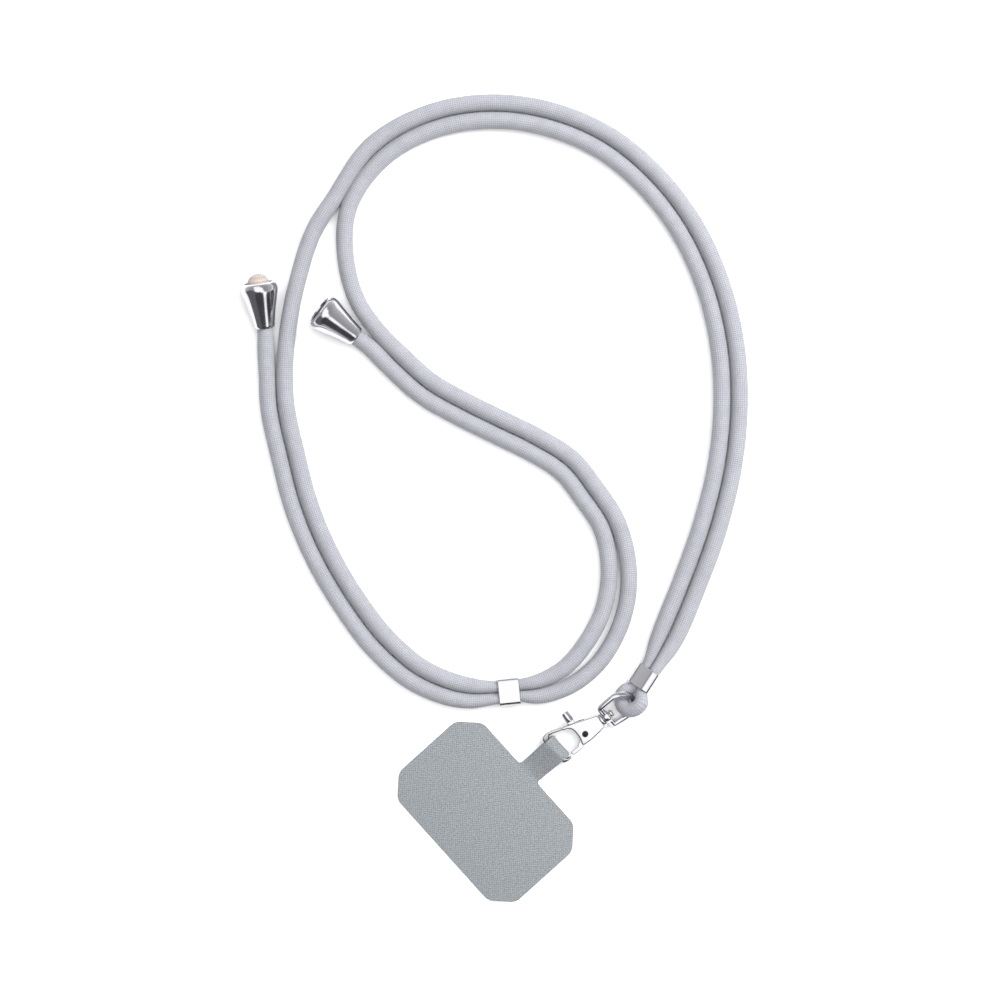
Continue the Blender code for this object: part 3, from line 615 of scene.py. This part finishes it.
def rope_rows(step):
    """Even rows along the rope's smooth curve: place, radius and distance from its start."""
    fine = []
    for x, y, z, diameter in smooth_rows(rope_route(), POINT_STEP / 50):
        fine.append((Vector((x, y, max(z, diameter / 2 + FLOOR_GAP))), diameter / 2))
    distance = [0.0]
    for before, here in zip(fine, fine[1:]):
        distance.append(distance[-1] + (here[0] - before[0]).length)
    count = round(distance[-1] / step)
    rows, k = [], 0
    for i in range(count + 1):
        want = distance[-1] * i / count
        while k < len(fine) - 2 and distance[k + 1] < want:
            k += 1
        share = (want - distance[k]) / (distance[k + 1] - distance[k])
        place = fine[k][0].lerp(fine[k + 1][0], share)
        rows.append((place, fine[k][1] * (1 - share) + fine[k + 1][1] * share, want))
    return rows


def make_rope(material):
    """The rope's knitted tube: a rib stands up at every course, narrow ends are closed."""
    rows = rope_rows(RIB_PITCH / RIB_RINGS)
    points, knit = [], []
    for i, (place, radius, along) in enumerate(rows):
        ahead, behind = rows[min(i + 1, len(rows) - 1)][0], rows[max(i - 1, 0)][0]
        travel = (ahead - behind).normalized()
        across = Vector((0, 0, 1)).cross(travel).normalized()
        up = travel.cross(across)
        rib = RIB_HEIGHT * (i % RIB_RINGS) / (RIB_RINGS - 1) - RIB_HEIGHT
        for k in range(ROPE_SIDES):
            angle = 2 * math.pi * k / ROPE_SIDES
            way = across * math.cos(angle) + up * math.sin(angle)
            points.append(place + PLAN_SHIFT + way * (radius + rib))
            knit.append((along / RIB_PITCH, math.cos(angle), math.sin(angle)))
    faces = ring_faces(len(rows), ROPE_SIDES)
    last = (len(rows) - 1) * ROPE_SIDES
    faces += [tuple(reversed(range(ROPE_SIDES))), tuple(range(last, last + ROPE_SIDES))]
    mesh = mesh_from(points, faces, "rope_knit")
    store_vectors(mesh, "knit", knit)
    mesh.shade_smooth()
    rope = add_piece("rope_knit", mesh, material, "strap", ["rope"])
    return rope, [row[0] + PLAN_SHIFT for row in rows[::RIB_RINGS * 4]], rows[-1][2]


def store_vectors(mesh, name, vectors):
    attribute = mesh.attributes.new(name, "FLOAT_VECTOR", "POINT")
    attribute.data.foreach_set("vector", [value for vector in vectors for value in vector])


# Clips.

def band_loop(half_width, half_height, corner, steps=8):
    """A rectangle with round corners, as (x, y) points."""
    points = []
    for x, y, start in ((1, -1, -90), (1, 1, 0), (-1, 1, 90), (-1, -1, 180)):
        for k in range(steps + 1):
            angle = math.radians(start + 90 * k / steps)
            points.append((x * (half_width - corner) + corner * math.cos(angle),
                           y * (half_height - corner) + corner * math.sin(angle)))
    return points


def make_clip(name, clip, material, node):
    """A bent band with eased edges; its wall's section is swept round the two strands."""
    along, across = clip_ways(clip)
    pitch = (ROPE_CLIP_DIAMETER + STRAND_GAP) / 2
    inner = ROPE_CLIP_DIAMETER / 2 + CLIP_GAP
    outer = inner + CLIP_WALL
    ease = CLIP_EASE
    half = CLIP_LENGTH / 2
    # Two rows close to each edge keep the broad face flat where the shading is smooth.
    section = [
        (inner, -half + ease), (inner + ease, -half), (outer - ease, -half),
        (outer, -half + ease), (outer, -half + 2 * ease),
        (outer, half - 2 * ease), (outer, half - ease),
        (outer - ease, half), (inner + ease, half), (inner, half - ease),
    ]
    loops = []
    for height, z in section:
        loop = band_loop(pitch + height, height, clip["corner"] - (outer - height))
        loops.append([(x, y, z) for x, y in loop])
    points = [point for loop in loops for point in loop]
    mesh = mesh_from(points, ring_faces(len(loops), len(loops[0]), closed=True), name)
    fix_normals(mesh)
    smooth(mesh, 50)
    return add_piece(name, mesh, material, "strap", [node],
                     in_frame(frame_matrix(Vector(clip["centre"]), across, along)))


def fix_normals(mesh):
    work = bmesh.new()
    work.from_mesh(mesh)
    bmesh.ops.remove_doubles(work, verts=work.verts, dist=1e-7)
    bmesh.ops.recalc_face_normals(work, faces=work.faces)
    work.to_mesh(mesh)
    work.free()


# Bells and rope ends.

def smooth_line(line, steps, closed=False):
    """More points on a smooth curve through a line's own (x, y) points."""
    rows = [Vector(row) for row in line]
    rows = rows[-1:] + rows + rows[:2] if closed else rows[:1] + rows + rows[-1:]
    found = []
    for before, start, end, after in zip(rows, rows[1:], rows[2:], rows[3:]):
        for k in range(steps):
            t = k / steps
            found.append(0.5 * (2 * start + (end - before) * t
                                + (2 * before - 5 * start + 4 * end - after) * t**2
                                + (3 * start - before - 3 * end + after) * t**3))
    if not closed:
        found.append(rows[-1])
    return [tuple(row) for row in found]


def turned(name, profile, closed=True, sides=64):
    """A mesh turned round the z axis from a profile of (radius, height) rows."""
    points = []
    for radius, height in profile:
        for k in range(sides):
            angle = 2 * math.pi * k / sides
            points.append((radius * math.cos(angle), radius * math.sin(angle), height))
    mesh = mesh_from(points, ring_faces(len(profile), sides, closed), name)
    # Courses of the knit run in rings round the axis.
    store_vectors(mesh, "knit", [
        ((z + math.hypot(x, y)) / RIB_PITCH, x, y) for x, y, z in points])
    fix_normals(mesh)
    smooth(mesh)
    return mesh


def bell_section():
    """The bell's wall: outside from the mouth's rolled rim down to the neck, then up the inside."""
    flare = BELL_MOUTH_RADIUS - BELL_NECK_RADIUS
    outside = [(BELL_NECK_RADIUS + flare * r, BELL_LENGTH * z) for r, z in BELL_OUTSIDE]
    return smooth_line(outside, 3) + BELL_INSIDE


def knot_section(end):
    """The rope's bound end: a low dome over a short round body."""
    base = end - KNOT_DOME
    dome = []
    for degrees in range(0, 91, 9):
        angle = math.radians(degrees)
        dome.append((KNOT_RADIUS * math.sin(angle), base + KNOT_DOME * math.cos(angle)))
    body = [(KNOT_RADIUS, KNOT_START + KNOT_EDGE), (KNOT_RADIUS - KNOT_EDGE, KNOT_START)]
    return dome + body + [(0.0, KNOT_START)]


def make_bell(number, bell, metal, cloth):
    """One end bell and the rope's end inside it."""
    aside = plan_direction(bell["bearing"] - 90)
    place = in_frame(frame_matrix(bell_neck(bell), aside, bell_axis(bell)))
    cup = turned(f"bell_cup_{number}", bell_section())
    dome = turned(f"rope_dome_{number}", knot_section(bell["knot_end"]), closed=False)
    return (
        add_piece(f"bell_cup_{number}", cup, metal, "strap", [f"bell_{number}"], place),
        add_piece(f"rope_dome_{number}", dome, cloth, "strap", [f"rope_end_{number}"], place),
    )


# Clasp.

def clasp_place():
    """The clasp's frame: origin at the ring's base bar, +X along the swivel's axis to the hook."""
    flat = plan_direction(AXIS_BEARING)
    drop = FOLD_HEIGHT - (TAB_THICKNESS + LOOP_RADIUS + BELL_LIFT)
    pitch = math.asin(drop / (RING_LENGTH + BOW_CENTRE[0]))
    axis = Vector((flat.x * math.cos(pitch), flat.y * math.cos(pitch), -math.sin(pitch)))
    return in_frame(frame_matrix(fold_centre() + axis * RING_LENGTH, axis, Vector((0, 0, 1))))


def plate(name, outline, thickness, edge, corner=0.6):
    """A flat plate from an outline in millimetres, its corners rounded and its edges eased."""
    curve = bpy.data.curves.new(name, "CURVE")
    curve.dimensions = "2D"
    curve.fill_mode = "BOTH"
    curve.extrude = thickness / 2 - edge
    curve.bevel_depth = edge
    curve.bevel_resolution = 3
    curve.offset = -edge
    spline = curve.splines.new("POLY")
    points = rounded(outline, corner)
    spline.points.add(len(points) - 1)
    spline.use_cyclic_u = True
    for point, place in zip(spline.points, points):
        point.co = (place.x * MM, place.y * MM, 0.0, 1.0)
    obj = bpy.data.objects.new(name, curve)
    bpy.context.scene.collection.objects.link(obj)
    bpy.context.view_layer.update()
    graph = bpy.context.evaluated_depsgraph_get()
    mesh = bpy.data.meshes.new_from_object(obj.evaluated_get(graph))
    bpy.data.objects.remove(obj)
    bpy.data.curves.remove(curve)
    fix_normals(mesh)
    return mesh


def rounded(outline, corner, steps=4):
    """The outline with each corner turned into a short curve; short sides get shorter curves."""
    points = [Vector(point) for point in outline]
    found = []
    for i, here in enumerate(points):
        ends = []
        for other in (points[i - 1], points[(i + 1) % len(points)]):
            way = other - here
            ends.append(here + way.normalized() * min(corner, way.length * 0.45))
        for k in range(steps + 1):
            t = k / steps
            found.append(ends[0] * (1 - t)**2 + here * 2 * t * (1 - t) + ends[1] * t**2)
    return found


def rod(bottom, top, radius, ease, direction="x", sides=40):
    """A short round bar with eased ends along x or z, as points and faces of a closed mesh."""
    bend = ease * 0.3
    section = [
        (0.0, bottom), (radius - ease, bottom), (radius - bend, bottom + bend), (radius, bottom + ease),
        (radius, top - ease), (radius - bend, top - bend), (radius - ease, top), (0.0, top),
    ]
    points = []
    for r, h in section:
        for k in range(sides):
            angle = 2 * math.pi * k / sides
            u = r * math.cos(angle)
            v = r * math.sin(angle)
            points.append((h, u, v) if direction == "x" else (u, v, h))
    mesh = mesh_from(points, ring_faces(len(section), sides), "rod")
    fix_normals(mesh)
    return mesh


def joined(name, meshes):
    """Several meshes as one, each left as its own closed shell."""
    work = bmesh.new()
    for mesh in meshes:
        work.from_mesh(mesh)
    made = bpy.data.meshes.new(name)
    work.to_mesh(made)
    work.free()
    smooth(made, 40)
    return made


def cut(mesh, low, high):
    """The mesh with a box taken out of it."""
    obj = bpy.data.objects.new("blank", mesh)
    cutter_mesh = bpy.data.meshes.new("cutter")
    work = bmesh.new()
    bmesh.ops.create_cube(work, size=1.0)
    work.to_mesh(cutter_mesh)
    work.free()
    cutter = bpy.data.objects.new("cutter", cutter_mesh)
    cutter.scale = [b - a for a, b in zip(low, high)]
    cutter.location = [(a + b) / 2 for a, b in zip(low, high)]
    for each in (obj, cutter):
        bpy.context.scene.collection.objects.link(each)
    modifier = obj.modifiers.new("slot", "BOOLEAN")
    modifier.operation = "DIFFERENCE"
    modifier.solver = "EXACT"
    modifier.object = cutter
    bpy.context.view_layer.update()
    made = bpy.data.meshes.new_from_object(obj.evaluated_get(bpy.context.evaluated_depsgraph_get()))
    for each in (obj, cutter):
        bpy.data.objects.remove(each)
    return made


def ring_path():
    """The D ring's centreline: a straight base bar across the axis and a round bow."""
    radius = RING_HALF_WIDTH
    near = RING_CORNER * 0.3
    base = [(0.0, radius - RING_CORNER), (-near, radius - near)]
    bow = []
    for degrees in range(90, 271, 15):
        angle = math.radians(degrees)
        bow.append((radius - RING_LENGTH + radius * math.cos(angle), radius * math.sin(angle)))
    return base + bow + [(x, -y) for x, y in reversed(base)]


def make_ring(material, place):
    """The D ring of round wire with its boss, which the swivel's post goes through."""
    sides = 20
    wire = RING_WIRE / 2
    rows = [Vector((x, y, 0.0)) for x, y in smooth_line(ring_path(), 5, closed=True)]
    points = []
    for i, here in enumerate(rows):
        travel = (rows[(i + 1) % len(rows)] - rows[i - 1]).normalized()
        across = Vector((0, 0, 1)).cross(travel)
        for k in range(sides):
            angle = 2 * math.pi * k / sides
            up = Vector((0, 0, wire * math.sin(angle)))
            points.append(here + across * wire * math.cos(angle) + up)
    wire_mesh = mesh_from(points, ring_faces(len(rows), sides, closed=True), "ring_wire")
    fix_normals(wire_mesh)
    boss = rod(-wire, wire, RING_BOSS_RADIUS, RING_BOSS_EASE)
    roll = Matrix.Rotation(math.radians(-RING_ROLL), 4, "X")
    return add_piece("ring_cast", joined("ring_cast", [wire_mesh, boss]), material, "strap",
                     ["swivel_ring"], place @ roll)


def make_hook(material, place):
    """The clasp's body: two cheeks round the lever's slot, the bow, collar, neck and post."""
    half = SLOT_HEIGHT / 2
    cheeks = plate("cheeks", BODY_OUTLINE, CHEEK_THICKNESS, CHEEK_EDGE, CHEEK_CORNER)
    body = cut(cheeks, (SLOT_X[0], SLOT_Y[0], -half), (SLOT_X[1], SLOT_Y[1], half))
    bow = plate("bow", HOOK_OUTLINE, HOOK_THICKNESS, HOOK_EDGE)
    rods = [rod(*row) for row in TURNED_PARTS]
    return add_piece("clasp_cast", joined("clasp_cast", [body, bow] + rods), material, "hook",
                     ["hook_body"], place)


def make_lever(material, place):
    """The gate with its round thumb nub."""
    gate = plate("gate", LEVER_OUTLINE, LEVER_THICKNESS, LEVER_EDGE)
    nub = rod(*NUB["y"], NUB["radius"], NUB["ease"])
    turn = Matrix.Rotation(math.radians(90), 4, "Z")
    nub.transform(Matrix.Translation((NUB["x"], 0.0, 0.0)) @ turn)
    return add_piece("lever_cast", joined("lever_cast", [gate, nub]), material, "lever",
                     ["lever"], place)


def make_rivet(material, place):
    """The lever's rivet: a shank through both cheeks and a low head on each side."""
    top = CHEEK_THICKNESS / 2 + POST_GAP
    head = top + RIVET_HEAD_HEIGHT
    meshes = [rod(-head, head, RIVET_RADIUS, RIVET_EASE, "z")]
    for low, high in ((top, head), (-head, -top)):
        meshes.append(rod(low, high, RIVET_HEAD_RADIUS, RIVET_HEAD_HEIGHT * 0.45, "z"))
    for mesh in meshes:
        mesh.transform(Matrix.Translation((*PIVOT, 0.0)))
    return add_piece("rivet_cast", joined("rivet_cast", meshes), material, "hook",
                     ["pivot_rivet"], place)


# Pad.

def pad_outline():
    """The pad's cut shape in millimetres: a long octagon with the tab's root on one long side."""
    length = PAD_LENGTH / MM / 2
    width = PAD_WIDTH / MM / 2
    corner = PAD_CORNER / MM
    tab = TAB_WIDTH / MM / 2
    fillet = TAB_FILLET / MM
    return [
        (width, -length + corner), (width, -tab - fillet), (width + fillet, -tab),
        (width + fillet * 2, -tab), (width + fillet * 2, tab), (width + fillet, tab),
        (width, tab + fillet), (width, length - corner), (width - corner, length),
        (-width + corner, length), (-width, length - corner), (-width, -length + corner),
        (-width + corner, -length), (width - corner, -length),
    ]


def make_pad(material, place):
    """The pad with its pressed edge, and the tab that goes on round the hook's bow."""
    reach = PAD_WIDTH / 2 + TAB_LENGTH - TAB_THICKNESS - LOOP_RADIUS
    bow = place @ Vector((*BOW_CENTRE, 0.0))
    lay = Matrix.Rotation(math.radians(PAD_BEARING), 4, "Z")
    lay.translation = Vector((bow.x, bow.y, 0.0)) - plan_direction(PAD_BEARING) * reach
    pad = plate("pad_cloth", pad_outline(), PAD_THICKNESS, PAD_EDGE, PAD_ROUND)
    pad.transform(Matrix.Translation((0, 0, PAD_THICKNESS / 2)))
    mesh = joined("pad_weave", [pad, tab_mesh(reach)])
    store_vectors(mesh, "weave", [v.co / THREAD_PITCH for v in mesh.vertices])
    return add_piece("pad_weave", mesh, material, "hook", ["patch"], lay)


def tab_line(reach):
    """The tab's middle line as (way out, height): along the floor, round the bow and back."""
    edge = PAD_WIDTH / 2
    half = TAB_THICKNESS / 2
    radius = LOOP_RADIUS + half
    centre_height = TAB_THICKNESS + LOOP_RADIUS + BELL_LIFT
    under = half + BELL_LIFT
    line = [(edge, under), (edge + 0.004, under), (reach - 0.0012, under)]
    for degrees in range(-75, 111, 15):
        angle = math.radians(degrees)
        line.append((reach + radius * math.cos(angle), centre_height + radius * math.sin(angle)))
    line += [(edge + out, PAD_THICKNESS - half + height) for out, height in TAB_TOP]
    return smooth_line(line, 4)


def tab_mesh(reach):
    """The tab's strip: out of the pad, up and round the hook's bow, and back into the pad."""
    rows = [Vector((x, 0.0, z)) for x, z in tab_line(reach)]
    width = TAB_WIDTH / 2
    half = TAB_THICKNESS / 2
    ease = PAD_EDGE
    profile = [
        (-width, -half + ease), (-width + ease, -half), (width - ease, -half), (width, -half + ease),
        (width, half - ease), (width - ease, half), (-width + ease, half), (-width, half - ease),
    ]
    points = []
    for i, here in enumerate(rows):
        travel = (rows[min(i + 1, len(rows) - 1)] - rows[max(i - 1, 0)]).normalized()
        up = travel.cross(Vector((0, 1, 0)))
        points += [here + Vector((0, y, 0)) + up * height for y, height in profile]
    faces = ring_faces(len(rows), len(profile))
    last = (len(rows) - 1) * len(profile)
    faces += [tuple(range(len(profile))), tuple(range(last, last + len(profile)))]
    mesh = mesh_from(points, faces, "tab")
    fix_normals(mesh)
    return mesh


# Studio.

def make_camera():
    """A camera straight above the laid strap, as in the photograph."""
    camera = bpy.data.cameras.new("camera")
    camera.lens = LENS
    camera.sensor_width = SENSOR
    obj = bpy.data.objects.new("camera", camera)
    obj.location = (*VIEW_CENTRE, ROPE_HEIGHT + VIEW_WIDTH * LENS / SENSOR)
    bpy.context.scene.collection.objects.link(obj)
    bpy.context.scene.camera = obj


def make_floor():
    """A table top of white laminate, satin, which takes soft shadows."""
    half = FLOOR_HALF
    corners = [(-half, -half, 0), (half, -half, 0), (half, half, 0), (-half, half, 0)]
    mesh = mesh_from(corners, [(0, 1, 2, 3)], "table_top")
    material = new_material("white_laminate", {
        "Base Color": linear("#f6f6f6"), "Roughness": 0.7, "Specular IOR Level": 0.2,
    })[0]
    mesh.materials.append(material)
    floor = bpy.data.objects.new("table_top", mesh)
    bpy.context.scene.collection.objects.link(floor)


def add_light(name, light):
    """A square soft box aimed at the strap, which the metal doesn't mirror."""
    lamp = bpy.data.lights.new(name, "AREA")
    lamp.shape = "SQUARE"
    lamp.size = light["size"]
    lamp.energy = light["power"]
    obj = bpy.data.objects.new(name, lamp)
    obj.location = light["place"]
    obj.rotation_euler = (-Vector(light["place"])).to_track_quat("-Z", "Y").to_euler()
    obj.visible_glossy = False
    bpy.context.scene.collection.objects.link(obj)


def make_world():
    """A grey room with lit panels and dark cards, so that plated metal shows its shape."""
    world = bpy.data.worlds.new("studio")
    bpy.context.scene.world = world
    world.use_nodes = True
    tree = world.node_tree
    background = tree.nodes["Background"]
    look = add_node(tree, "ShaderNodeTexCoord").outputs["Generated"]
    split = add_node(tree, "ShaderNodeSeparateXYZ", inputs={0: look})
    rise = add_node(tree, "ShaderNodeMath", {"operation": "DIVIDE"}, {0: split.outputs["Z"], 1: ROOM_FADE})
    room = add_node(tree, "ShaderNodeMix", {"data_type": "RGBA"},
                    {0: rise.outputs[0], 6: linear("#b4b4b6"), 7: linear("#8a8a8e")})
    colour = room.outputs[2]
    for bearing, height, half_angle, edge, tone in CARDS:
        way = plan_direction(bearing) * math.cos(math.radians(height))
        way.z = math.sin(math.radians(height))
        facing = add_node(tree, "ShaderNodeVectorMath", {"operation": "DOT_PRODUCT"}, {0: look, 1: way})
        share = add_node(tree, "ShaderNodeMapRange", inputs={
            "Value": facing.outputs["Value"],
            "From Min": math.cos(math.radians(half_angle + edge)),
            "From Max": math.cos(math.radians(half_angle)),
        })
        card = add_node(tree, "ShaderNodeMix", {"data_type": "RGBA"},
                        {0: share.outputs[0], 6: colour, 7: linear(tone)})
        colour = card.outputs[2]
    tree.links.new(colour, background.inputs["Color"])
    background.inputs["Strength"].default_value = ROOM_STRENGTH


# Making.

make_camera()
# Each knit gets a groove colour and a crest colour; the darker groove colour is painted shade.
knit_grey = knitted_polyester("knitted_polyester_grey", "#7f8086", "#a8a9af")
knit_undyed = knitted_polyester("knitted_polyester_undyed", "#958a84", "#bdb3ac")
nickel = plated_zinc("nickel_plated_zinc", "#cccccf")
# The pin's dark colour is painted shade for a sunk rivet end.
steel = steel_with_painted_shade("steel_with_painted_shade", "#3a3a3c")
# The weave's darker gap colour is painted shade.
weave_grey = woven_polyester("woven_polyester_grey", "#606467", "#929699")

rope, rope_path, rope_length = make_rope(knit_grey)
pieces = [
    make_clip("slide_band", CLIP_A, nickel, "slide_clip"),
    make_clip("loop_band", CLIP_B, nickel, "loop_clip"),
]
cup_1, dome_1 = make_bell(1, BELL_1, nickel, knit_undyed)
cup_2, dome_2 = make_bell(2, BELL_2, nickel, knit_undyed)
place = clasp_place()
pieces += [cup_1, cup_2, make_ring(nickel, place), make_hook(nickel, place),
           make_lever(nickel, place), make_rivet(steel, place)]
pad = make_pad(weave_grey, place)

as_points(rope_path)

make_floor()
make_world()
add_light("key", KEY_LIGHT)
add_light("top", TOP_LIGHT)
bpy.context.scene.view_settings.view_transform = "Standard"
